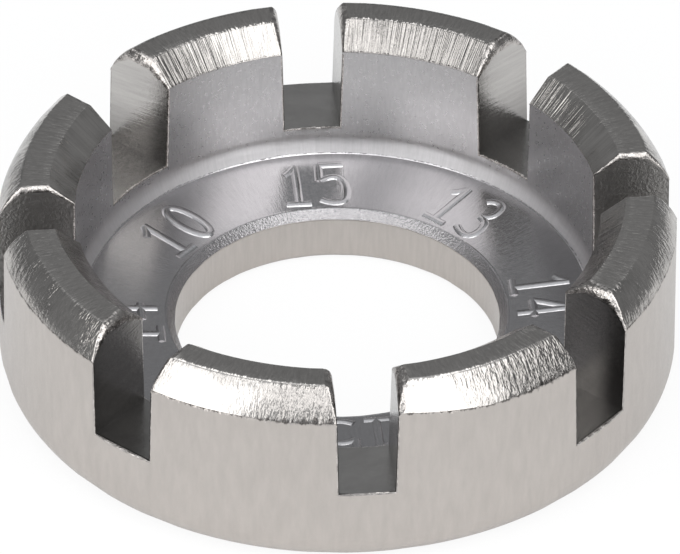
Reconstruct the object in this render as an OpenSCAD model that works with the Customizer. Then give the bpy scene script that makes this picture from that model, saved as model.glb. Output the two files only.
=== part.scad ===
// Round spoke wrench: one plated ring with a dished floor and eight nipple slots across its wall.
// The ring stands on its flat base, centred on the origin, with its axis along +Z.

/* [Ring] */
// Outer diameter of the ring, in mm
body_d = 39; // [36:0.5:44]
// Height of the crown above the base
crown_h = 12; // [10.5:0.1:15]
// Thickness of the wall that the slots cross
wall_t = 4.4; // [3.8:0.05:5.5]
// Radius under the outer edge of the base
base_r = 2; // [0.5:0.1:3]

/* [Crown] */
// How far down the outer side the curved shoulder reaches
shoulder_h = 1.85; // [1.2:0.05:2.4]
// How far in from the outer side the curved shoulder reaches
shoulder_w = 1.3; // [1:0.05:2]
// Radius of the shoulder's curve
shoulder_r = 4.5; // [4:0.1:8]
// How far down the inner side the bevel reaches
bevel_h = 1.3; // [0.6:0.05:2.4]
// How far out from the inner side the bevel reaches
bevel_w = 1.5; // [0.6:0.05:2]

/* [Dish] */
// Thickness of the floor beside the bore
floor_t = 3.3; // [2.4:0.1:4.2]
// Angle at which the floor climbs from the bore to the wall, in degrees
floor_rise = 4.5; // [0:0.5:8]
// Radius of the hollow where the wall comes down to the floor
fillet_r = 2; // [1:0.1:3]
// How far in from the wall the hollow meets the floor in a crease
crease_in = 0.4; // [0.2:0.05:0.8]

/* [Bore] */
// Diameter of the hole through the floor
bore_d = 18.7; // [14:0.1:22]
// Chamfer round the bore's upper edge
bore_chamfer = 0.5; // [0.2:0.05:1]
// Chamfer round the bore's lower edge
bore_break = 0.3; // [0.1:0.05:0.8]

/* [Slots] */
// Height of the slot floors above the base
slot_floor_h = 5.15; // [4.5:0.05:7]
// How much lower the floor of the 11 gauge slot lies
deep_slot_drop = 0.65; // [0:0.05:1]
// Angle at which each slot's side leans out, so that the blank leaves its die
slot_draft = 1.5; // [0:0.25:3]
// Chamfer along each side of a slot's mouth
mouth_chamfer = 0.25; // [0.1:0.05:0.6]
// Width of the 10 gauge slot at its floor
gauge_10_w = 4.75; // [4.5:0.05:5.3]
// Width of the 11 gauge slot at its floor
gauge_11_w = 4.15; // [4:0.05:4.4]
// Width of the 12 gauge slot at its floor
gauge_12_w = 3.95; // [3.8:0.05:4.2]
// Width of the 13 gauge slot at its floor
gauge_13_w = 3.55; // [3.5:0.05:3.8]
// Width of the two 14 gauge slots at their floors
gauge_14_w = 3.4; // [3.2:0.05:3.7]
// Width of the two 15 gauge slots at their floors
gauge_15_w = 3.2; // [3:0.05:3.5]

/* [Hidden] */

// How far each cutter runs past the face that it opens
overrun = 1;

body_r = body_d / 2;
bore_r = bore_d / 2;
dish_r = body_r - wall_t;

// The floor climbs in a straight line from the edge of the bore's chamfer
rim_r = bore_r + bore_chamfer;
crease_r = dish_r - crease_in;
floor_slope = tan(floor_rise);
crease_h = floor_t + (crease_r - rim_r) * floor_slope;

// The hollow's circle touches the wall and passes through the crease
fillet_x = dish_r - fillet_r;
fillet_h = crease_h + sqrt(fillet_r ^ 2 - (crease_r - fillet_x) ^ 2);

// The shoulder's circle passes through both ends of the shoulder
shoulder_chord = norm([shoulder_w, shoulder_h]);
chord_to_centre = sqrt(shoulder_r ^ 2 - (shoulder_chord / 2) ^ 2);
shoulder_x = body_r - shoulder_w / 2 - chord_to_centre * shoulder_h / shoulder_chord;
shoulder_y = crown_h - shoulder_h / 2 - chord_to_centre * shoulder_w / shoulder_chord;

// Each slot's width and height at its floor, in order round the ring from +X towards +Y
slots = [
    [gauge_11_w, slot_floor_h - deep_slot_drop],
    [gauge_14_w, slot_floor_h],
    [gauge_13_w, slot_floor_h],
    [gauge_15_w, slot_floor_h],
    [gauge_10_w, slot_floor_h],
    [gauge_14_w, slot_floor_h],
    [gauge_12_w, slot_floor_h],
    [gauge_15_w, slot_floor_h],
];
slot_step = 360 / len(slots);

// In the sections below, x is the radius and y is the height

// What a quarter circle leaves of the square round it, up and to the right of its centre
module outside_of_arc(r) {
    difference() {
        square(r + overrun);
        circle(r = r, $fn = 120);
    }
}

// Section of the blank, with its curved shoulder above and its rounded edge below
module blank_section() {
    difference() {
        square([body_r, crown_h]);
        translate([shoulder_x, shoulder_y]) outside_of_arc(shoulder_r);
        translate([body_r - base_r, base_r]) mirror([0, 1, 0]) outside_of_arc(base_r);
    }
}

// Section of the open dish, with the hollow that carries its wall into its floor
module dish_section() {
    difference() {
        polygon([
            [0, floor_t], [rim_r, floor_t],
            [dish_r, crease_h + crease_in * floor_slope],
            [dish_r, crown_h + overrun], [0, crown_h + overrun],
        ]);
        translate([fillet_x, fillet_h]) mirror([0, 1, 0]) outside_of_arc(fillet_r);
    }
}

// Section of the bevel round the crown's inner edge
module bevel_section() {
    spread = overrun * bevel_w / bevel_h;
    polygon([
        [dish_r - spread, crown_h - bevel_h - overrun],
        [dish_r + bevel_w + spread, crown_h + overrun],
        [dish_r - spread, crown_h + overrun],
    ]);
}

// Section of the bore, with a chamfer at each end
module bore_section() {
    polygon([
        [0, -overrun], [bore_r + bore_break + overrun, -overrun], [bore_r, bore_break],
        [bore_r, floor_t - bore_chamfer], [rim_r + overrun, floor_t + overrun],
        [0, floor_t + overrun],
    ]);
}

// One slot along +X, from the axis out through the wall
module slot_cut(width, floor_h) {
    mouth_h = crown_h - mouth_chamfer;
    floor_half = width / 2;
    mouth_half = floor_half + (mouth_h - floor_h) * tan(slot_draft);
    top_half = mouth_half + mouth_chamfer + overrun;
    rotate([90, 0, 90]) linear_extrude(height = body_r + overrun) polygon([
        [-floor_half, floor_h], [floor_half, floor_h],
        [mouth_half, mouth_h], [top_half, crown_h + overrun],
        [-top_half, crown_h + overrun], [-mouth_half, mouth_h],
    ]);
}

// The wrench is one casting: its base, its floor and its eight jaws are a single solid
module wrench_body() {
    color([0.74, 0.73, 0.71])
    difference() {
        rotate_extrude($fn = 180) difference() {
            blank_section();
            dish_section();
            bevel_section();
            bore_section();
        }
        for (i = [0 : len(slots) - 1])
            rotate([0, 0, i * slot_step]) slot_cut(slots[i][0], slots[i][1]);
    }
}

wrench_body();
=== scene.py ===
import math

import bmesh
import bpy
from mathutils import Matrix, Vector


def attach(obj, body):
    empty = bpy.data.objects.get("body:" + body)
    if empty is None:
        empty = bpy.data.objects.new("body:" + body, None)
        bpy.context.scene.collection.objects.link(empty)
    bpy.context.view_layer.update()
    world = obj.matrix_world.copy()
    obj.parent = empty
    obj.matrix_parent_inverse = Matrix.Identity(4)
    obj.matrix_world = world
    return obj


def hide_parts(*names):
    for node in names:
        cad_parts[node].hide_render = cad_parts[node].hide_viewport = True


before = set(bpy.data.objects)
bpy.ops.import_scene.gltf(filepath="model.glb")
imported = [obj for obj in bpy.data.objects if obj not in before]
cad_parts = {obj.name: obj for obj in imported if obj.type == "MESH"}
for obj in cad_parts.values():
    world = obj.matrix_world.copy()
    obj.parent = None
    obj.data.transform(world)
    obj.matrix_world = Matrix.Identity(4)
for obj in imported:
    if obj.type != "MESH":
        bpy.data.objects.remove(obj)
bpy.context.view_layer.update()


# The casting blank.
# The whole wrench is one piece of cast steel. Its outline is turned round the bore's axis here:
# a flat base, an upright wall with a curved shoulder, a narrow crown, a bevel and a dished floor.
mm = 0.001
ring_r, crown_h, wall_in_r = 19.5, 12.0, 15.1
shoulder_low, shoulder_in, shoulder_curve = 10.15, 18.2, 4.5
bevel_low, bevel_out = 10.7, 16.6
base_curve, fillet_curve, crease_r, crease_h = 2.0, 2.0, 14.7, 3.682
bore_r, bore_rim_r, floor_h, bore_foot, bore_top = 9.35, 9.85, 3.3, 0.3, 2.8

# Gauge, width at the slot's floor, height of that floor and how far the slot strays from its
# eighth of the ring in degrees, in order round the ring from +X
slots = [(11, 4.15, 4.5, 0.25), (14, 3.4, 5.15, 0.15), (13, 3.55, 5.1, -0.4), (15, 3.2, 5.23, 0.2),
         (10, 4.75, 5.15, -0.25), (14, 3.4, 5.15, 0.0), (12, 3.95, 5.07, 0.35), (15, 3.2, 5.22, -0.4)]
slot_pitch = math.radians(45)
slot_lean = math.radians(1.5)


def start_clean():
    """Leaves edit mode and drops every selection, so that the next tool meets only its own piece."""
    if bpy.context.object and bpy.context.object.mode != "OBJECT":
        bpy.ops.object.mode_set(mode="OBJECT")
    bpy.ops.object.select_all(action="DESELECT")


def take(piece):
    """Makes one piece the selected and active one."""
    start_clean()
    piece.select_set(True)
    bpy.context.view_layer.objects.active = piece


def pick(kind, test):
    """Selects the edited piece's verts, edges or faces that pass the test, and nothing else."""
    mesh = bmesh.from_edit_mesh(bpy.context.object.data)
    for part in (mesh.verts, mesh.edges, mesh.faces):
        for bit in part:
            bit.select = False
    bpy.context.tool_settings.mesh_select_mode = [kind == k for k in ("verts", "edges", "faces")]
    for bit in [bit for bit in getattr(mesh, kind) if test(bit)]:
        bit.select_set(True)
    mesh.select_flush_mode()
    bmesh.update_edit_mesh(bpy.context.object.data)


def arc(centre_r, centre_h, radius, first, last, steps):
    """Points along an arc of the outline, from one angle to another in degrees."""
    turns = [math.radians(first + (last - first) * k / steps) for k in range(steps + 1)]
    return [(centre_r + radius * math.cos(t), centre_h + radius * math.sin(t)) for t in turns]


def arc_through(low, high, radius, steps):
    """Points along the outward arc of a given radius from one outline point up to another."""
    middle, span = (Vector(low) + Vector(high)) / 2, Vector(high) - Vector(low)
    inward = Vector((-span.y, span.x)).normalized()
    centre = middle + inward * math.sqrt(radius ** 2 - span.length_squared / 4)
    first = math.degrees(math.atan2(low[1] - centre.y, low[0] - centre.x))
    last = math.degrees(math.atan2(high[1] - centre.y, high[0] - centre.x))
    return arc(centre.x, centre.y, radius, first, last, steps)


hollow_r = wall_in_r - fillet_curve
hollow_h = crease_h + math.sqrt(fillet_curve ** 2 - (crease_r - hollow_r) ** 2)
hollow_end = math.degrees(math.asin((crease_h - hollow_h) / fillet_curve))
outline = [(bore_r + bore_foot, 0.0)]
outline += arc(ring_r - base_curve, base_curve, base_curve, -90, 0, 10)
outline += arc_through((ring_r, shoulder_low), (shoulder_in, crown_h), shoulder_curve, 8)
outline += [(bevel_out, crown_h), (wall_in_r, bevel_low)]
outline += arc(hollow_r, hollow_h, fillet_curve, 0, hollow_end, 5)
outline += [(bore_rim_r, floor_h), (bore_r, bore_top), (bore_r, bore_foot)]

start_clean()
bpy.ops.mesh.primitive_plane_add(size=mm, location=(outline[0][0] * mm, 0, outline[0][1] * mm))
ring = bpy.context.object
ring.name = ring.data.name = "plated_ring"
bpy.ops.object.transform_apply(location=True, rotation=True, scale=True)
bpy.ops.object.mode_set(mode="EDIT")
bpy.ops.mesh.merge(type="CENTER")
for here, there in zip(outline, outline[1:]):
    step = ((there[0] - here[0]) * mm, 0, (there[1] - here[1]) * mm)
    bpy.ops.mesh.extrude_region_move(TRANSFORM_OT_translate={"value": step})
first_and_last = [Vector((r * mm, 0, h * mm)) for r, h in (outline[0], outline[-1])]
pick("verts", lambda v: min((v.co - p).length for p in first_and_last) < 1e-7)
bpy.ops.mesh.edge_face_add()


def near_outline(points, reach=0.02):
    """Tests whether a vertex of the flat outline stands at one of the given points."""
    return lambda v: any(math.hypot(v.co.x / mm - r, v.co.z / mm - h) < reach for r, h in points)


# Every corner of the outline is broken a little, as plating and tumbling leave it. The widths of
# the breaks are in millimetres.
corner_breaks = [
    ([(shoulder_in, crown_h)], 0.12),
    ([(wall_in_r, bevel_low), (bore_rim_r, floor_h), (bore_r, bore_top)], 0.06),
    ([(bevel_out, crown_h)], 0.02),
    ([(bore_r, bore_foot), (bore_r + bore_foot, 0.0)], 0.05),
]
for points, width in corner_breaks:
    pick("verts", near_outline(points))
    bpy.ops.mesh.bevel(offset=width * mm, segments=3, affect="VERTICES")

# The outline is spun from slot to slot. It takes one wide step across each side of a slot, so
# that no row of vertices stands where the slot's edge and its rounding come.
mouth_room, side_room, fine_step = 0.62, math.radians(0.8), math.radians(0.6)


def slot_reach(width, floor, stray):
    """Angles at which a slot's sides leave the outer wall and the dish, with room for rounding."""
    half = width / 2
    mouth = width / 2 + (crown_h - floor) * math.tan(slot_lean) + mouth_room
    room = math.radians(abs(stray))
    return math.asin(half / ring_r) - room - side_room, math.asin(mouth / wall_in_r) + room + side_room


def spin_on(angle, steps):
    """Spins the outline's last copy a little further round the bore's axis."""
    bpy.ops.mesh.spin(steps=steps, angle=angle, center=(0, 0, 0), axis=(0, 0, 1))


bpy.ops.mesh.select_all(action="SELECT")
for k, slot in enumerate(slots):
    near, far = slot_reach(*slot[1:])
    next_near, next_far = slot_reach(*slots[(k + 1) % len(slots)][1:])
    spin_on(near, round(near / fine_step))
    spin_on(far - near, 1)
    spin_on(slot_pitch - far - next_far, round((slot_pitch - far - next_far) / fine_step))
    spin_on(next_far - next_near, 1)
    spin_on(next_near, round(next_near / fine_step))
bpy.ops.mesh.select_all(action="SELECT")
bpy.ops.mesh.remove_doubles(threshold=0.0005 * mm)
bpy.ops.mesh.normals_make_consistent(inside=False)

# The shoulders are ground by hand, jaw by jaw. Two of the front ones end a little higher than the
# rest: one all along, the other only where it starts, and there the crown is narrower too. The
# rises are in millimetres and the angles in degrees round the ring.
low_rise, high_rise = 0.12, 0.72
low_rise_from, high_rise_from, fade_from, fade_to = 270, 315, 319, 336
crown_pull = 0.4
shoulder_from = shoulder_in - 0.3


def angle_of(place):
    """A point's angle round the ring in degrees, from +X."""
    return math.degrees(math.atan2(place.y, place.x)) % 360


def shoulder_rise(angle):
    """How much higher than usual the shoulder's lower edge lies, in millimetres."""
    if low_rise_from < angle < high_rise_from:
        return low_rise
    if high_rise_from <= angle < fade_from:
        return high_rise
    if fade_from <= angle < fade_to:
        return high_rise * (1 - (angle - fade_from) / (fade_to - fade_from))
    return 0.0


pick("verts", lambda v: v.co.xy.length > shoulder_from * mm and v.co.z > (shoulder_low - 0.01) * mm)
mesh = bmesh.from_edit_mesh(ring.data)
for v in mesh.verts:
    if v.select:
        rise = shoulder_rise(angle_of(v.co))
        up = (v.co.z / mm - shoulder_low) / (crown_h - shoulder_low)
        v.co.z += rise * (1 - up) * mm
        v.co.xy *= 1 - crown_pull * rise * up / ring_r
bmesh.update_edit_mesh(ring.data)
start_clean()


# The nipple slots.
# Eight slots are milled through the wall from above, each as wide as one gauge of spoke nipple.
# Their floors are flat, their sides lean out by a degree and a half, and their mouths are rounded,
# the two 14 gauge ones about half as much as the rest.
mouth_out, mouth_up, clear_out, clear_up = 0.5, 0.8, 3.6, 2.0
mouth_foot_h, mouth_fade, mouth_least, fine_mouth = 10.2, 1.6, 0.3, 0.55
mouth_h = crown_h - mouth_up
cutter_in_r, cutter_out_r, mouth_side, past_wall = 12.0, ring_r + 1.5, 0.6, 0.3

# A mouth's section: a quarter of an ellipse in eight steps, then one wide step clear of the crown
mouth_turns = [math.radians(11.25 * k) for k in range(9)]
mouth_steps = [(mouth_out * (math.cos(a) - math.cos(b)), mouth_up * (math.sin(b) - math.sin(a)))
               for a, b in zip(mouth_turns, mouth_turns[1:])] + [(clear_out, clear_up)]
top_line = arc_through((ring_r, shoulder_low), (shoulder_in, crown_h), shoulder_curve, 8)
top_line = [(wall_in_r, bevel_low), (bevel_out, crown_h)] + top_line[::-1]


def top_at(radius, angle):
    """The height of the ground bevel, crown and shoulder at a place. Both ends of the line are
    carried on a little past the walls."""
    radius = min(radius, ring_r + past_wall)
    for turn in range(2):
        step = max(1, sum(r <= radius for r, h in top_line[:-1]))
        (r_in, h_in), (r_out, h_out) = top_line[step - 1], top_line[step]
        height = h_in + (h_out - h_in) * (radius - r_in) / (r_out - r_in)
        rise, up = shoulder_rise(angle % 360), (height - shoulder_low) / (crown_h - shoulder_low)
        if radius < shoulder_from or turn:
            break
        radius += crown_pull * rise * up
    return height + rise * (1 - up) if radius > shoulder_from else height


def roundness(height, gauge):
    """How much of the mouth's full rounding a place has: all of it at the crown, less further down,
    and only about half as much on the two 14 gauge slots."""
    share = max(mouth_least, min(1.0, (height - mouth_foot_h) / mouth_fade))
    return share * (fine_mouth if gauge == 14 else 1.0)


cutters = []
for k, (gauge, width, floor, stray) in enumerate(slots):
    side_at = width / 2 + mouth_side
    bpy.ops.mesh.primitive_cube_add(
        size=mm,
        location=((cutter_in_r + cutter_out_r) / 2 * mm, 0, (floor + mouth_h) / 2 * mm),
        scale=(cutter_out_r - cutter_in_r, width, mouth_h - floor),
    )
    cutter = bpy.context.object
    bpy.ops.object.transform_apply(location=True, rotation=True, scale=True)
    bpy.ops.object.mode_set(mode="EDIT")
    for r, h in top_line:
        along = math.sqrt(r ** 2 - side_at ** 2)
        bpy.ops.mesh.select_all(action="SELECT")
        bpy.ops.mesh.bisect(plane_co=(along * mm, 0, 0), plane_no=(1, 0, 0), threshold=1e-7)
    pick("faces", lambda f: f.normal.z > 0.9)
    mesh = bmesh.from_edit_mesh(cutter.data)
    for v in mesh.verts:
        if v.select:
            side = math.copysign(side_at, v.co.y)
            place = math.degrees(k * slot_pitch + math.atan2(side, v.co.x / mm)) + stray
            top = top_at(math.hypot(v.co.x / mm, side), place)
            v.co.z = (top - mouth_up * roundness(top, gauge)) * mm
            v.co.y = math.copysign(width / 2 + (v.co.z / mm - floor) * math.tan(slot_lean), side) * mm
    bmesh.update_edit_mesh(cutter.data)
    for out, up in mouth_steps:
        bpy.ops.mesh.extrude_region_move(TRANSFORM_OT_translate={"value": (0, 0, 0)})
        mesh = bmesh.from_edit_mesh(cutter.data)
        for v in mesh.verts:
            if v.select:
                top = top_at(math.hypot(v.co.x / mm, side_at), 0)
                share = 1.0 if up == clear_up else roundness(top, gauge)
                v.co.z += up * share * mm
                v.co.y += math.copysign(out * share, v.co.y) * mm
        bmesh.update_edit_mesh(cutter.data)
    bpy.ops.object.mode_set(mode="OBJECT")
    cutter.rotation_euler.z = k * slot_pitch + math.radians(stray)
    bpy.ops.object.transform_apply(location=True, rotation=True, scale=True)
    cutters.append(cutter)
    start_clean()
for cutter in cutters:
    cutter.select_set(True)
bpy.context.view_layer.objects.active = cutters[0]
bpy.ops.object.join()
slot_mill = bpy.context.object

take(ring)
bpy.ops.object.modifier_add(type="BOOLEAN")
milling = ring.modifiers[-1]
milling.operation, milling.solver, milling.object = "DIFFERENCE", "EXACT", slot_mill
bpy.ops.object.modifier_apply(modifier=milling.name)
take(slot_mill)
bpy.ops.object.delete()


def slot_at(point):
    """The nearest slot's number, then how far the point lies along it, across it and above the
    base, in millimetres."""
    k = round(math.atan2(point.y, point.x) / slot_pitch) % len(slots)
    turned = Matrix.Rotation(-k * slot_pitch - math.radians(slots[k][3]), 3, "Z") @ Vector(point)
    return k, turned.x / mm, turned.y / mm, turned.z / mm


# A face counts as level, as a slot's side or as turned on the lathe by its normal, and as a
# mouth's rounding above this height, in millimetres
level_least, side_least, turned_most, mouth_low = 0.999, 0.995, 0.08, 8.5
side_reach, near_enough = 0.8, 0.01


def slot_face(face):
    """Whether a face is a slot's floor, one of its two sides or the rounding at its mouth, or none."""
    k, along, across, height = slot_at(face.calc_center_median())
    gauge, width, floor, stray = slots[k]
    lean = Matrix.Rotation(-k * slot_pitch - math.radians(stray), 3, "Z") @ face.normal
    if height < floor - near_enough or abs(across) > width / 2 + side_reach:
        return None
    if lean.z > level_least:
        return "floor" if height < floor + near_enough else None
    if abs(lean.y) > side_least:
        return "side"
    sideways = abs(face.normal.cross(Vector((*face.calc_center_median().xy, 0)).normalized()).z)
    return "mouth" if sideways > turned_most and height > mouth_low else None


# The slots' edges are rounded a little all the way, as the tumbling before plating leaves them.
# The rounding takes the last of the ring's five finishes.
edge_round, finish_count = 0.11, 5
take(ring)
for k in range(finish_count):
    bpy.ops.object.material_slot_add()
bpy.ops.object.mode_set(mode="EDIT")
pick("edges", lambda e: len(e.link_faces) == 2
     and sorted(str(slot_face(f)) for f in e.link_faces) in (["None", "floor"], ["None", "side"]))
bpy.ops.transform.edge_bevelweight(value=1.0)
start_clean()
take(ring)
bpy.ops.object.modifier_add(type="BEVEL")
rounding = ring.modifiers[-1]
rounding.limit_method, rounding.width, rounding.segments = "WEIGHT", edge_round * mm, 2
rounding.use_clamp_overlap, rounding.loop_slide, rounding.material = False, False, finish_count - 1
bpy.ops.object.modifier_apply(modifier=rounding.name)
bpy.ops.object.shade_smooth_by_angle(angle=math.radians(30))

# The edge between the upright wall and the ground shoulder stays sharp
bpy.ops.object.mode_set(mode="EDIT")
pick("edges", lambda e: len(e.link_faces) == 2 and {f.normal.z < 0.02 for f in e.link_faces} == {True, False}
     and all(v.co.xy.length > (ring_r - 0.05) * mm and v.co.z > (shoulder_low - 0.05) * mm for v in e.verts))
bpy.ops.mesh.mark_sharp()
start_clean()
take(ring)
bpy.ops.object.modifier_add(type="WEIGHTED_NORMAL")
evening = ring.modifiers[-1]
evening.keep_sharp = True
bpy.ops.object.modifier_apply(modifier=evening.name)

# The wide steps beside the slots would show as flats in the plating's gloss, so each corner of a
# turned face is told the direction that the lathe gave it there. A neighbour's corner takes the
# same direction where it already leans nearly that way.
same_way = 0.96
shape = ring.data
given = [corner.vector.copy() for corner in shape.corner_normals]
turned_at = {}
for face in shape.polygons:
    centre = Vector((face.center.x, face.center.y, 0)).normalized()
    if abs(face.normal.cross(centre).z) < turned_most:
        for corner in face.loop_indices:
            spot = shape.loops[corner].vertex_index
            out = Vector((shape.vertices[spot].co.x, shape.vertices[spot].co.y, 0)).normalized()
            rise = given[corner].z
            flat = math.copysign(math.sqrt(max(0.0, 1 - rise ** 2)), given[corner].dot(out))
            given[corner] = out * flat + Vector((0, 0, rise))
            turned_at.setdefault(spot, []).append(given[corner])
for corner, loop in enumerate(shape.loops):
    near = max(turned_at.get(loop.vertex_index, []), key=given[corner].dot, default=None)
    if near and near.dot(given[corner]) > same_way:
        given[corner] = near
shape.normals_split_custom_set(given)


def jaw_marks(angle, slot_number):
    """What differs from jaw to jaw and from slot to slot, for the finishes to read: where the ground
    shoulder ends, how ragged the grinding left the crown's edges, how much it tore the face, where
    it left a burr, how coarse a slot is and how much shade is painted on its sides."""
    torn_end = max(0.0, min(1.0, (angle % 45 - 20) / 12))
    return {
        "shoulder_foot": shoulder_low + shoulder_rise(angle),
        "raggedness": 1.0 if 90 < angle < 180 else 0.8 if angle > 270 else 0.0,
        "tearing": torn_end if 135 < angle < 180 or angle > 270 else 1.0 if 90 < angle < 135 else 0.3,
        "burr": 1.0 if angle < 45 else 0.0,
        "coarseness": 1.0 if slot_number in (1, 5) else 0.15,
        "painted_slot_shade": {0: 0.45, 1: 0.4, 5: 0.4, 6: 0.35}.get(slot_number, 0.0),
    }


for name in jaw_marks(0, 0):
    shape.attributes.new(name, "FLOAT", "POINT")
for v in shape.vertices:
    for name, value in jaw_marks(angle_of(v.co), slot_at(v.co)[0]).items():
        shape.attributes[name].data[v.index].value = value


def paint(code):
    """An sRGB hex colour as Blender's linear one."""
    parts = [int(code[i:i + 2], 16) / 255 for i in (1, 3, 5)]
    return [p / 12.92 if p <= 0.04045 else ((p + 0.055) / 1.055) ** 2.4 for p in parts] + [1.0]


def add(tree, kind, sockets=(), **settings):
    """Adds one node. Settings are its own choices. Sockets are its inputs, in their order or by
    name, each a value or what it links to, where a node stands for its first output."""
    made = tree.nodes.new(kind)
    for name, value in settings.items():
        setattr(made, name, value)
    for name, value in sockets.items() if isinstance(sockets, dict) else enumerate(sockets):
        if isinstance(value, bpy.types.Node):
            value = value.outputs[0]
        if isinstance(value, bpy.types.NodeSocket):
            tree.links.new(value, made.inputs[name])
        else:
            made.inputs[name].default_value = value
    return made


def finish_named(name):
    """A new material with its tree and its shader, ready for its patterns."""
    material = bpy.data.materials.new(name)
    material.use_nodes = True
    return material, material.node_tree, material.node_tree.nodes["Principled BSDF"]


def plating_named(name):
    """A new finish of the ring's nickel plating."""
    material, tree, metal = finish_named(name)
    metal.inputs["Metallic"].default_value = 1.0
    return material, tree, metal


def sum_of(tree, start, *terms):
    """Adds up values: a first one, then pairs of a pattern and its share."""
    for pattern, share in terms:
        start = add(tree, "ShaderNodeMath", (pattern, share, start), operation="MULTIPLY_ADD")
    return start


# Hairlines are drawn on a circle of this radius in millimetres, and drift by this share of the way
# across the ring
hair_r, hair_drift = 17.5, 0.22


def places(tree):
    """Where a point lies, in millimetres: its place, its radius, its height, and a place that stays
    nearly the same along a line across the ring, on which hairlines run."""
    object_place = add(tree, "ShaderNodeTexCoord").outputs["Object"]
    point = add(tree, "ShaderNodeVectorMath", {0: object_place, 3: 1 / mm}, operation="SCALE")
    split = add(tree, "ShaderNodeSeparateXYZ", (point,))
    level = add(tree, "ShaderNodeCombineXYZ", (split.outputs[0], split.outputs[1]))
    radius = add(tree, "ShaderNodeVectorMath", (level,), operation="LENGTH").outputs["Value"]
    outward = add(tree, "ShaderNodeVectorMath", (level,), operation="NORMALIZE")
    height = split.outputs[2]
    along = add(tree, "ShaderNodeMath", (radius, height), operation="SUBTRACT")
    drift = add(tree, "ShaderNodeMath", (along, hair_drift), operation="MULTIPLY")
    slow = add(tree, "ShaderNodeCombineXYZ", {2: drift})
    across = add(tree, "ShaderNodeVectorMath", (outward, (hair_r,) * 3, slow), operation="MULTIPLY_ADD")
    return point, radius, height, across


def past(tree, gone, reach, fade):
    """1 just past an edge, fading to 0 within the reach, and 0 before the edge. Gone is how far past
    it a point lies. This draws the teeth that one ground face leaves in the next."""
    left = add(tree, "ShaderNodeMath", (reach, gone), operation="SUBTRACT")
    faded = add(tree, "ShaderNodeMapRange", (left, 0.0, fade, 0.0, 1.0))
    started = add(tree, "ShaderNodeMath", (gone, 0.0), operation="GREATER_THAN")
    return add(tree, "ShaderNodeMath", (faded, started), operation="MULTIPLY")


def engrave(tree, metal, height, outward=None, upward=None):
    """Gives a shader the relief of a height in millimetres, and leans it outward and upward."""
    leaning = add(tree, "ShaderNodeBump", {"Distance": mm, "Height": height})
    if outward:
        point = add(tree, "ShaderNodeTexCoord").outputs["Object"]
        level = add(tree, "ShaderNodeVectorMath", (point, (1, 1, 0)), operation="MULTIPLY")
        out = add(tree, "ShaderNodeVectorMath", (level,), operation="NORMALIZE")
        out = add(tree, "ShaderNodeVectorMath", {0: out, 3: outward}, operation="SCALE")
        leaning = add(tree, "ShaderNodeVectorMath", (leaning, out), operation="ADD")
    if upward:
        rise = add(tree, "ShaderNodeCombineXYZ", {2: upward})
        leaning = add(tree, "ShaderNodeVectorMath", (leaning, rise), operation="ADD")
    leaning = add(tree, "ShaderNodeVectorMath", (leaning,), operation="NORMALIZE")
    tree.links.new(leaning.outputs[0], metal.inputs["Normal"])


# Satin nickel over the tumbled casting: a warm, even grey with a faint upright mottle, broken at
# its upper edge by the teeth that the grinding of the shoulder leaves
cast_nickel, tree, metal = plating_named("satin_nickel_over_casting")
point, radius, height, across = places(tree)
mottle_mm, grain_mm, teeth_mm, wall_shade_mm = 0.45, 0.16, 0.13, 0.4
mottle = add(tree, "ShaderNodeTexNoise",
             {"Vector": across, "Scale": 1 / mottle_mm, "Detail": 3.0, "Roughness": 0.6})
grain = add(tree, "ShaderNodeTexNoise", {"Vector": point, "Scale": 1 / grain_mm})
teeth = add(tree, "ShaderNodeTexNoise",
            {"Vector": across, "Scale": 1 / teeth_mm, "Detail": 3.0, "Roughness": 0.7})
shade_noise = add(tree, "ShaderNodeTexNoise",
             {"Vector": across, "Scale": 1 / wall_shade_mm, "Detail": 4.0, "Roughness": 0.7})
# Shade is painted on the wall in ragged dark teeth just under the foot of the shoulder
foot = add(tree, "ShaderNodeAttribute", attribute_name="shoulder_foot").outputs["Fac"]
under = add(tree, "ShaderNodeMath", (foot, height), operation="SUBTRACT")
wall_shade_reach = add(tree, "ShaderNodeMapRange", (shade_noise, 0.36, 0.66, -0.02, 0.26))
wall_shade = past(tree, under, wall_shade_reach, 0.12)
even = add(tree, "ShaderNodeMapRange", (mottle, 0.3, 0.7, 0.88, 1.0))
off_foot_shade = add(tree, "ShaderNodeMapRange", (wall_shade, 0.0, 1.0, 1.0, 0.0))
shade = add(tree, "ShaderNodeMath", (even, off_foot_shade), operation="MULTIPLY")
tint = add(tree, "ShaderNodeMix", {0: shade, 6: paint("#5C5855"), 7: paint("#BBB5B0")}, data_type="RGBA")
tree.links.new(tint.outputs[2], metal.inputs["Base Color"])
satin = add(tree, "ShaderNodeMapRange", (grain, 0.3, 0.7, 0.28, 0.36))
tree.links.new(satin.outputs[0], metal.inputs["Roughness"])
lip_reach = add(tree, "ShaderNodeMapRange", (teeth, 0.4, 0.8, 0.0, 0.4))
lip = past(tree, under, lip_reach, 0.03)
lifted = add(tree, "ShaderNodeMath", (lip, 0.38), operation="MULTIPLY")
engrave(tree, metal, sum_of(tree, 0.0, (grain, 0.007), (mottle, 0.004)), upward=lifted)

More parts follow.
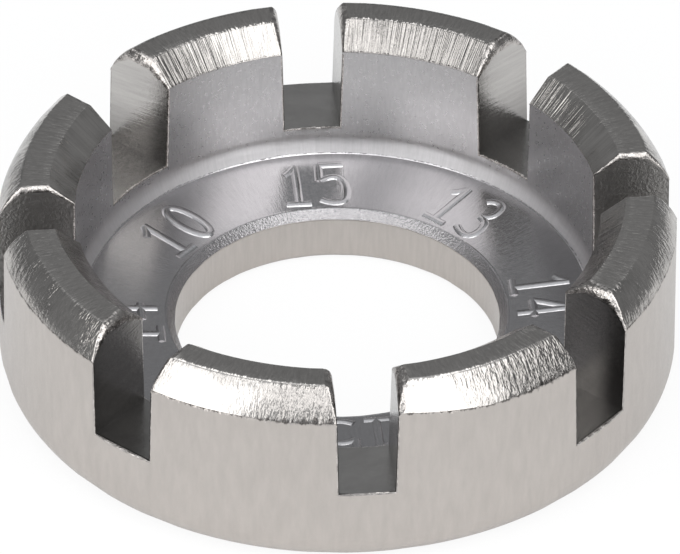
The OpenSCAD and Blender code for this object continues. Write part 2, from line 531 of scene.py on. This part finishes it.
# The same nickel in the dish, where the tumbling hardly reaches: a cooler and rougher satin with
# fine lines up the wall and across the floor. A thin broken bead of it marks the crease, and the
# chamfer round the bore sparkles with small facets.
dish_nickel, tree, metal = plating_named("rough_satin_nickel_in_dish")
point, radius, height, across = places(tree)
line_mm, grain_mm, facet_mm = 0.16, 0.22, 0.13
lines = add(tree, "ShaderNodeTexNoise",
            {"Vector": across, "Scale": 1 / line_mm, "Detail": 3.0, "Roughness": 0.6})
grain = add(tree, "ShaderNodeTexNoise", {"Vector": point, "Scale": 1 / grain_mm})
facets = add(tree, "ShaderNodeTexNoise", {"Vector": point, "Scale": 1 / facet_mm, "Roughness": 0.6})
rim = add(tree, "ShaderNodeMapRange", (radius, bore_rim_r - 0.02, bore_rim_r + 0.12, 1.0, 0.0))
streaks = add(tree, "ShaderNodeMapRange", (lines, 0.3, 0.7, 0.85, 1.0))
off_rim = add(tree, "ShaderNodeMapRange", (rim, 0.0, 1.0, 1.0, 0.5))
shade = add(tree, "ShaderNodeMath", (streaks, off_rim), operation="MULTIPLY")
tint = add(tree, "ShaderNodeMix", {0: shade, 6: paint("#6E6C6D"), 7: paint("#BDBBBC")}, data_type="RGBA")
tree.links.new(tint.outputs[2], metal.inputs["Base Color"])

# Its gloss is dullest in the hollow, and uneven by its grain
uneven = add(tree, "ShaderNodeMapRange", (grain, 0.3, 0.7, -0.04, 0.04))
up_the_wall = add(tree, "ShaderNodeMapRange", (radius, crease_r - 0.1, crease_r + 0.02, 0.23, 0.30))
past_crease = add(tree, "ShaderNodeMath", (radius, crease_r), operation="SUBTRACT")
in_hollow = past(tree, past_crease, 0.38, 0.2)
dull = add(tree, "ShaderNodeMath", (uneven, sum_of(tree, up_the_wall, (in_hollow, 0.25))), operation="ADD")
tree.links.new(dull.outputs[0], metal.inputs["Roughness"])

# The crease's bead leans in towards the bore, and the hollow behind it leans up
near_crease = add(tree, "ShaderNodeMath", (radius, crease_r - 0.14), operation="SUBTRACT")
bead = add(tree, "ShaderNodeMapRange", (grain, 0.3, 0.6, 0.04, 0.16))
turned_in = add(tree, "ShaderNodeMath", (past(tree, near_crease, bead, 0.02), -0.7), operation="MULTIPLY")
behind = add(tree, "ShaderNodeMapRange", (radius, crease_r + 0.1, crease_r + 0.35, 0.0, 0.16))
low_down = add(tree, "ShaderNodeMapRange", (height, hollow_h - 0.6, hollow_h + 2.6, 1.0, 0.0))
turned_up = add(tree, "ShaderNodeMath", (behind, low_down), operation="MULTIPLY")
sparkle = add(tree, "ShaderNodeMath", (facets, rim), operation="MULTIPLY")
relief = sum_of(tree, 0.0, (lines, 0.008), (grain, 0.004), (sparkle, 0.06))
engrave(tree, metal, relief, turned_in, turned_up)

# Nickel over the ground crown, shoulders and bevel: a brighter gloss, torn into hairlines that run
# across the ring and into small facets, so that a lamp's edge shows ragged in it
ground_nickel, tree, metal = plating_named("bright_nickel_over_grinding")
point, radius, height, across = places(tree)
hair_mm, facet_mm, tear_mm, lump_mm, teeth_mm, shoulder_shade_mm = 0.15, 0.26, 0.2, 2.5, 0.12, 0.22
mid_crown, half_crown, bevel_end, crown_start = 17.4, 0.75, 17.0, 17.1
hairs = add(tree, "ShaderNodeTexNoise",
            {"Vector": across, "Scale": 1 / hair_mm, "Detail": 3.0, "Roughness": 0.7})
facets = add(tree, "ShaderNodeTexNoise",
             {"Vector": point, "Scale": 1 / facet_mm, "Detail": 3.0, "Roughness": 0.6})
tears = add(tree, "ShaderNodeTexNoise", {"Vector": across, "Scale": 1 / tear_mm, "Roughness": 0.6})
lumps = add(tree, "ShaderNodeTexNoise", {"Vector": point, "Scale": 1 / lump_mm})
teeth = add(tree, "ShaderNodeTexNoise",
            {"Vector": across, "Scale": 1 / teeth_mm, "Detail": 3.0, "Roughness": 0.7})
shade_noise = add(tree, "ShaderNodeTexNoise",
             {"Vector": across, "Scale": 1 / shoulder_shade_mm, "Detail": 3.0, "Roughness": 0.7})
torn = add(tree, "ShaderNodeAttribute", attribute_name="tearing").outputs["Fac"]
ragged = add(tree, "ShaderNodeAttribute", attribute_name="raggedness").outputs["Fac"]
foot = add(tree, "ShaderNodeAttribute", attribute_name="shoulder_foot").outputs["Fac"]
burr = add(tree, "ShaderNodeAttribute", attribute_name="burr").outputs["Fac"]

# The torn patches lie on the shoulders and the bevel, and hardly on the crown
torn_lumps = sum_of(tree, lumps, (torn, 0.5))
patches = add(tree, "ShaderNodeMapRange", (torn_lumps, 0.55, 0.85, 0.12, 1.0))
on_crown = add(tree, "ShaderNodeMath", (radius, mid_crown, half_crown), operation="COMPARE")
off_crown = add(tree, "ShaderNodeMapRange", (on_crown, 0.0, 1.0, 1.0, 0.3))
patches = add(tree, "ShaderNodeMath", (patches, off_crown), operation="MULTIPLY")
rough_bevel = add(tree, "ShaderNodeMapRange", (ragged, 0.0, 0.8, 0.45, 1.0))
bevelled = add(tree, "ShaderNodeMapRange", (radius, bevel_end, crown_start, rough_bevel, 0.3))

# Shade is painted in ragged dark teeth up from the torn foot of a shoulder
over = add(tree, "ShaderNodeMath", (height, foot), operation="SUBTRACT")
shoulder_shade_reach = add(tree, "ShaderNodeMapRange", (shade_noise, 0.38, 0.7, 0.0, 0.5))
shoulder_shade_reach = add(tree, "ShaderNodeMath", (torn, shoulder_shade_reach), operation="MULTIPLY")
shoulder_shade = past(tree, over, shoulder_shade_reach, 0.2)
streaks = add(tree, "ShaderNodeMapRange", (hairs, 0.3, 0.7, 0.75, 1.0))
whole = add(tree, "ShaderNodeMapRange", (patches, 0.12, 1.0, 1.0, 0.62))
off_foot_shade = add(tree, "ShaderNodeMapRange", (shoulder_shade, 0.0, 1.0, 1.0, 0.1))
shade = add(tree, "ShaderNodeMath", (streaks, whole), operation="MULTIPLY")
shade = add(tree, "ShaderNodeMath", (shade, off_foot_shade), operation="MULTIPLY")
tint = add(tree, "ShaderNodeMix", {0: shade, 6: paint("#4E4B49"), 7: paint("#C2BEBA")}, data_type="RGBA")
tree.links.new(tint.outputs[2], metal.inputs["Base Color"])
gloss = add(tree, "ShaderNodeMapRange", (facets, 0.3, 0.7, 0.11, 0.22))
tree.links.new(gloss.outputs[0], metal.inputs["Roughness"])

# Teeth run from the bevel and from the shoulder into the crown, and a burr along some inner edges
teeth_reach = add(tree, "ShaderNodeMapRange", (teeth, 0.4, 0.8, 0.0, 0.42))
teeth_reach = add(tree, "ShaderNodeMath", (teeth_reach, ragged), operation="MULTIPLY")
past_bevel = add(tree, "ShaderNodeMath", (radius, bevel_out + 0.02), operation="SUBTRACT")
most_ragged = add(tree, "ShaderNodeMapRange", (ragged, 0.85, 0.95, 0.0, 1.0))
inner_reach = add(tree, "ShaderNodeMath", (teeth_reach, most_ragged), operation="MULTIPLY")
inward = past(tree, past_bevel, inner_reach, 0.1)
from_shoulder = add(tree, "ShaderNodeMath", (shoulder_in - 0.04, radius), operation="SUBTRACT")
outward = past(tree, from_shoulder, teeth_reach, 0.1)
past_edge = add(tree, "ShaderNodeMath", (radius, bevel_out - 0.05), operation="SUBTRACT")
burr_reach = add(tree, "ShaderNodeMapRange", (tears, 0.3, 0.6, 0.18, 0.34))
burred = add(tree, "ShaderNodeMath", (past(tree, past_edge, burr_reach, 0.04), burr), operation="MULTIPLY")
lean_out = sum_of(tree, 0.0, (inward, -0.87), (outward, 0.84), (burred, 0.42))

# Short teeth also run up the foot of the bevel
past_foot = add(tree, "ShaderNodeMath", (height, bevel_low + 0.02), operation="SUBTRACT")
foot_reach = add(tree, "ShaderNodeMath", (teeth_reach, 0.35), operation="MULTIPLY")
foot_teeth = past(tree, past_foot, foot_reach, 0.04)
on_bevel = add(tree, "ShaderNodeMapRange", (radius, bevel_end, crown_start, -0.75, 0.0))
lean_up = add(tree, "ShaderNodeMath", (foot_teeth, on_bevel), operation="MULTIPLY")
reliefs = []
for pattern, where, depth in ((hairs, bevelled, 0.046), (facets, patches, 0.035), (tears, patches, 0.12)):
    centred = add(tree, "ShaderNodeMath", (pattern, 0.5), operation="SUBTRACT")
    reliefs.append((add(tree, "ShaderNodeMath", (centred, where), operation="MULTIPLY"), depth))
engrave(tree, metal, sum_of(tree, 0.0, *reliefs), lean_out, lean_up)

# Nickel over the milled slots: cool and fairly smooth, with the cutter's fine lines along each
# side. Shade is painted into their colour: darker low on the upright sides of every slot, and all over in
# four of them.
milled_nickel, tree, metal = plating_named("satin_nickel_over_milling")
point, radius, height, across = places(tree)
cut_mm, grain_mm = 0.2, 0.2
slant = add(tree, "ShaderNodeMath", (radius, 0.15, height), operation="MULTIPLY_ADD")
slow = add(tree, "ShaderNodeMath", (radius, 0.06), operation="MULTIPLY")
rows = add(tree, "ShaderNodeCombineXYZ", {0: slow, 2: slant})
rows = add(tree, "ShaderNodeVectorMath", (across, (0.1, 0.1, 0.0), rows), operation="MULTIPLY_ADD")
cuts = add(tree, "ShaderNodeTexNoise",
           {"Vector": rows, "Scale": 1 / cut_mm, "Detail": 3.0, "Roughness": 0.6})
grain = add(tree, "ShaderNodeTexNoise",
            {"Vector": point, "Scale": 1 / grain_mm, "Detail": 3.0, "Roughness": 0.6})
facing = add(tree, "ShaderNodeTexCoord").outputs["Normal"]
facing_up = add(tree, "ShaderNodeSeparateXYZ", (facing,)).outputs[2]
# Painted shade: the colour darkens low on the upright sides, and by the painted shade listed for each slot
low_down = add(tree, "ShaderNodeMapRange", (height, 5.4, 8.5, 0.45, 0.0))
upright = add(tree, "ShaderNodeMapRange", (facing_up, 0.7, 0.9, 1.0, 0.0))
deep_shade = add(tree, "ShaderNodeMath", (low_down, upright), operation="MULTIPLY")
slot_shade = add(tree, "ShaderNodeAttribute", attribute_name="painted_slot_shade").outputs["Fac"]
slot_shade = add(tree, "ShaderNodeMath", (slot_shade, deep_shade), operation="MAXIMUM")
streaks = add(tree, "ShaderNodeMapRange", (cuts, 0.3, 0.7, 0.85, 1.0))
unshaded = add(tree, "ShaderNodeMapRange", (slot_shade, 0.0, 1.0, 1.0, 0.0))
shade = add(tree, "ShaderNodeMath", (streaks, unshaded), operation="MULTIPLY")
tint = add(tree, "ShaderNodeMix", {0: shade, 6: paint("#1E1D1D"), 7: paint("#C0BDBA")}, data_type="RGBA")
tree.links.new(tint.outputs[2], metal.inputs["Base Color"])
coarse = add(tree, "ShaderNodeAttribute", attribute_name="coarseness").outputs["Fac"]
smooth = add(tree, "ShaderNodeMapRange", (grain, 0.3, 0.7, 0.15, 0.22))
tree.links.new(sum_of(tree, smooth, (coarse, 0.2)).outputs[0], metal.inputs["Roughness"])
coarse_grain = add(tree, "ShaderNodeMath", (grain, coarse), operation="MULTIPLY")
engrave(tree, metal, sum_of(tree, 0.0, (cuts, 0.018), (coarse_grain, 0.05)))

# Nickel worn bright on the slots' rounded edges, where it is dented into a row of small beads
worn_nickel, tree, metal = plating_named("bright_nickel_on_worn_edges")
point = places(tree)[0]
dent_mm = 0.45
dents = add(tree, "ShaderNodeTexNoise",
            {"Vector": point, "Scale": 1 / dent_mm, "Detail": 3.0, "Roughness": 0.6})
shade = add(tree, "ShaderNodeMapRange", (dents, 0.35, 0.65, 0.0, 1.0))
tint = add(tree, "ShaderNodeMix", {0: shade, 6: paint("#8F8B88"), 7: paint("#C6C1BD")}, data_type="RGBA")
tree.links.new(tint.outputs[2], metal.inputs["Base Color"])
gloss = add(tree, "ShaderNodeMapRange", (dents, 0.3, 0.7, 0.16, 0.3))
tree.links.new(gloss.outputs[0], metal.inputs["Roughness"])
engrave(tree, metal, sum_of(tree, 0.0, (dents, 0.1)))


def ground(face):
    """Whether a face belongs to the shoulders, the crown or the bevel."""
    r, h = face.calc_center_median().xy.length / mm, face.calc_center_median().z / mm
    return h > (bevel_low - 0.03 if r < shoulder_in - 0.5 else shoulder_low) and face.normal.z > 0.05


def in_dish(face):
    """Whether a face belongs to the dish, from the bore's chamfer to the foot of the bevel."""
    r, h = face.calc_center_median().xy.length / mm, face.calc_center_median().z / mm
    return r < wall_in_r + 0.01 and h > bore_top + 0.01


for number, finish in enumerate((cast_nickel, dish_nickel, ground_nickel, milled_nickel, worn_nickel)):
    ring.material_slots[number].material = finish
take(ring)
bpy.ops.object.mode_set(mode="EDIT")
tests = [in_dish, ground, lambda f: slot_face(f) is not None, lambda f: slot_face(f) == "mouth"]
for number, test in enumerate(tests, 1):
    pick("faces", lambda f: f.material_index != finish_count - 1 and test(f))
    ring.active_material_index = number
    bpy.ops.object.material_slot_assign()
start_clean()
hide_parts("wrench_body")
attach(ring, "root")


# The gauge numerals.
# Each slot's gauge stands in front of it on the dish floor, raised out of the casting, with the
# numerals' tops outwards. Every stroke is a low half-round bead.
numeral_low, numeral_h, numeral_pitch, numeral_shift = 10.35, 3.25, 2.12, -0.2
bead_r, bead_sunk = 0.42, 0.31

# Each numeral's strokes, in millimetres across it and as shares of its height
strokes = {
    "0": [[(0.62 * math.cos(math.radians(t)), 0.5 + 0.5 * math.sin(math.radians(t)))
           for t in range(0, 361, 20)]],
    "1": [[(-0.66, 0.76), (-0.3, 0.83), (-0.05, 0.97)], [(0.02, 1.0), (0.02, 0.0)],
          [(-0.72, 0.0), (0.74, 0.0)]],
    "2": [[(-0.62, 0.74), (-0.5, 0.97), (0.0, 1.02), (0.6, 0.95), (0.62, 0.6), (0.0, 0.3), (-0.65, 0.02)],
          [(-0.68, 0.0), (0.7, 0.0)]],
    "3": [[(-0.6, 0.92), (-0.3, 1.02), (0.5, 1.02), (0.62, 0.62), (-0.05, 0.54)],
          [(-0.05, 0.54), (0.7, 0.5), (0.74, 0.02), (-0.1, -0.04), (-0.66, 0.1)]],
    "4": [[(0.78, 0.3), (-0.75, 0.3)], [(-0.75, 0.3), (0.32, 1.0)], [(0.32, 1.0), (0.32, 0.0)]],
    "5": [[(0.72, 1.0), (-0.72, 1.0)], [(-0.72, 1.0), (-0.76, 0.58)],
          [(-0.76, 0.58), (-0.3, 0.68), (0.45, 0.68), (0.86, 0.4), (0.7, 0.0), (-0.2, -0.04), (-0.78, 0.08)]],
}
floor_climb = (crease_h - floor_h) / (crease_r - bore_rim_r)
numerals = []
for k, slot in enumerate(slots):
    for place, digit in enumerate(str(slot[0])):
        pen = bpy.data.curves.new(f"numeral_{k}_{place}", "CURVE")
        pen.dimensions, pen.use_fill_caps = "3D", True
        pen.bevel_depth, pen.bevel_resolution = bead_r * mm, 2
        for stroke in strokes[digit]:
            line = pen.splines.new("NURBS")
            line.points.add(len(stroke) - 1)
            line.order_u, line.resolution_u, line.use_endpoint_u = min(3, len(stroke)), 5, True
            for spot, (x, y) in zip(line.points, stroke):
                side = x + (place - 0.5) * numeral_pitch + numeral_shift
                out = numeral_low + y * numeral_h
                rise = floor_h + (out - bore_rim_r) * floor_climb - bead_sunk
                spot.co = (side * mm, out * mm, rise * mm, 1)
        numeral = bpy.data.objects.new(pen.name, pen)
        bpy.context.scene.collection.objects.link(numeral)
        take(numeral)
        bpy.ops.object.convert(target="MESH")
        numeral = bpy.context.object
        numeral.rotation_euler.z = k * slot_pitch - math.radians(90)
        bpy.ops.object.transform_apply(location=True, rotation=True, scale=True)
        numerals.append(numeral)
start_clean()
for numeral in numerals:
    numeral.select_set(True)
bpy.context.view_layer.objects.active = numerals[0]
bpy.ops.object.join()
beads = bpy.context.object
beads.name = beads.data.name = "gauge_numerals"
bpy.ops.object.mode_set(mode="EDIT")
bpy.ops.mesh.select_all(action="SELECT")
bpy.ops.mesh.remove_doubles(threshold=0.001 * mm)
bpy.ops.mesh.normals_make_consistent(inside=False)
start_clean()
take(beads)
bpy.ops.object.shade_smooth_by_angle(angle=math.radians(50))
beads.data.materials.append(dish_nickel)
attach(beads, "root")


# The studio.
# The wrench stands on a small white card in a dim room, under two big soft boxes and a pale
# ceiling. The card shows white to the camera and in the metal, and keeps a faint shadow.
view_heading, view_height, view_roll = math.radians(39.43), math.radians(37.85), math.radians(-0.24)
view_distance = 0.9043
aim = Vector((-1.676, 2.268, 3.625)) * mm


def toward(side, height):
    """The direction that lies so many degrees to the right of the camera's and so high."""
    turn, lift = view_heading + math.radians(side), math.radians(height)
    return Vector((math.sin(turn) * math.cos(lift), -math.cos(turn) * math.cos(lift), math.sin(lift)))


card_r, card_drop = 85, 0.02
start_clean()
bpy.ops.mesh.primitive_circle_add(
    vertices=96, radius=card_r * mm, fill_type="NGON", location=(0, 0, -card_drop * mm))
card = bpy.context.object
card.name = card.data.name = "white_card"
board, tree, cover = finish_named("white_card_board")
cover.inputs["Base Color"].default_value = paint("#F4F4F4")
cover.inputs["Roughness"].default_value = 0.9

# It shines white to the camera, faintly to the metal, and isn't seen from below
camera_glow, metal_glow = 0.9, 0.25
path = add(tree, "ShaderNodeLightPath").outputs
in_metal, through = path["Is Glossy Ray"], path["Is Transmission Ray"]
bounced = add(tree, "ShaderNodeMath", (in_metal, through), operation="MAXIMUM")
bounced = add(tree, "ShaderNodeMath", (bounced, metal_glow), operation="MULTIPLY")
share = add(tree, "ShaderNodeMath", (path["Is Camera Ray"], camera_glow, bounced), operation="MULTIPLY_ADD")
glow = add(tree, "ShaderNodeEmission", {"Strength": 1.0})
blend = add(tree, "ShaderNodeMixShader", (share, cover, glow))
below = add(tree, "ShaderNodeNewGeometry").outputs["Backfacing"]
clear = add(tree, "ShaderNodeBsdfTransparent")
sheet = add(tree, "ShaderNodeMixShader", (below, blend, clear))
tree.links.new(sheet.outputs[0], tree.nodes["Material Output"].inputs["Surface"])
card.data.materials.append(board)

world = bpy.data.worlds.new("studio_air")
bpy.context.scene.world = world
world.use_nodes = True
tree = world.node_tree
ray = add(tree, "ShaderNodeTexCoord").outputs["Generated"]
upward = add(tree, "ShaderNodeSeparateXYZ", (ray,)).outputs["Z"]
forward = add(tree, "ShaderNodeVectorMath", (ray, toward(-2, 24)), operation="DOT_PRODUCT").outputs["Value"]
in_front = add(tree, "ShaderNodeMapRange", (forward, 0.40, 0.95, 0.0, 0.55), interpolation_type="SMOOTHSTEP")
overhead = add(tree, "ShaderNodeMapRange", (upward, 0.70, 0.93, 0.28, 1.0), interpolation_type="SMOOTHSTEP")
room = add(tree, "ShaderNodeMath", (in_front, overhead), operation="ADD")
seen = add(tree, "ShaderNodeLightPath").outputs["Is Camera Ray"]
strength = add(tree, "ShaderNodeMix", {0: seen, 2: room, 3: 1.0})
tree.links.new(strength.outputs[0], tree.nodes["Background"].inputs["Strength"])
air = add(tree, "ShaderNodeMix", {0: seen, 6: paint("#F9FCFF"), 7: paint("#FFFFFF")}, data_type="RGBA")
tree.links.new(air.outputs[2], tree.nodes["Background"].inputs["Color"])


def soft_box(name, side, height, across, up, right, top, brightness, far=0.6):
    """Hangs a soft box at the side and height given. Its size and its shift from there are shares
    of its distance, and its brightness is what the metal sees."""
    away = toward(side, height)
    faced = away.to_track_quat("Z", "Y")
    lamp = bpy.data.lights.new(name, "AREA")
    lamp.shape, lamp.size, lamp.size_y = "RECTANGLE", across * far, up * far
    lamp.energy = brightness * math.pi * lamp.size * lamp.size_y
    box = bpy.data.objects.new(name, lamp)
    bpy.context.scene.collection.objects.link(box)
    box.rotation_mode = "QUATERNION"
    box.rotation_quaternion = faced
    box.location = away * far + faced @ Vector((right * far, top * far, 0))
    box.visible_camera = False


soft_box("left_soft_box", -50, 27, 0.80, 1.00, 0.0, -0.05, 2.25)
soft_box("left_soft_box_upper", -50, 27, 0.40, 0.40, -0.10, 0.65, 1.6)
soft_box("right_soft_box", 35, 40, 0.80, 0.95, -0.05, 0.225, 2.25)
soft_box("right_soft_box_lower", 35, 40, 0.51, 0.50, 0.105, -0.50, 2.25)

back = toward(0, math.degrees(view_height))
eye = bpy.data.cameras.new("camera")
eye.lens, eye.sensor_width = 828.2, 36.0
eye.clip_start, eye.clip_end = 0.05, 20.0
camera = bpy.data.objects.new("camera", eye)
bpy.context.scene.collection.objects.link(camera)
eye_place = back * view_distance
level = (eye_place - aim).to_track_quat("Z", "Y")
camera.rotation_mode = "QUATERNION"
camera.rotation_quaternion = level @ Matrix.Rotation(-view_roll, 4, "Z").to_quaternion()
camera.location = eye_place
bpy.context.scene.camera = camera
bpy.context.scene.view_settings.view_transform = "Standard"
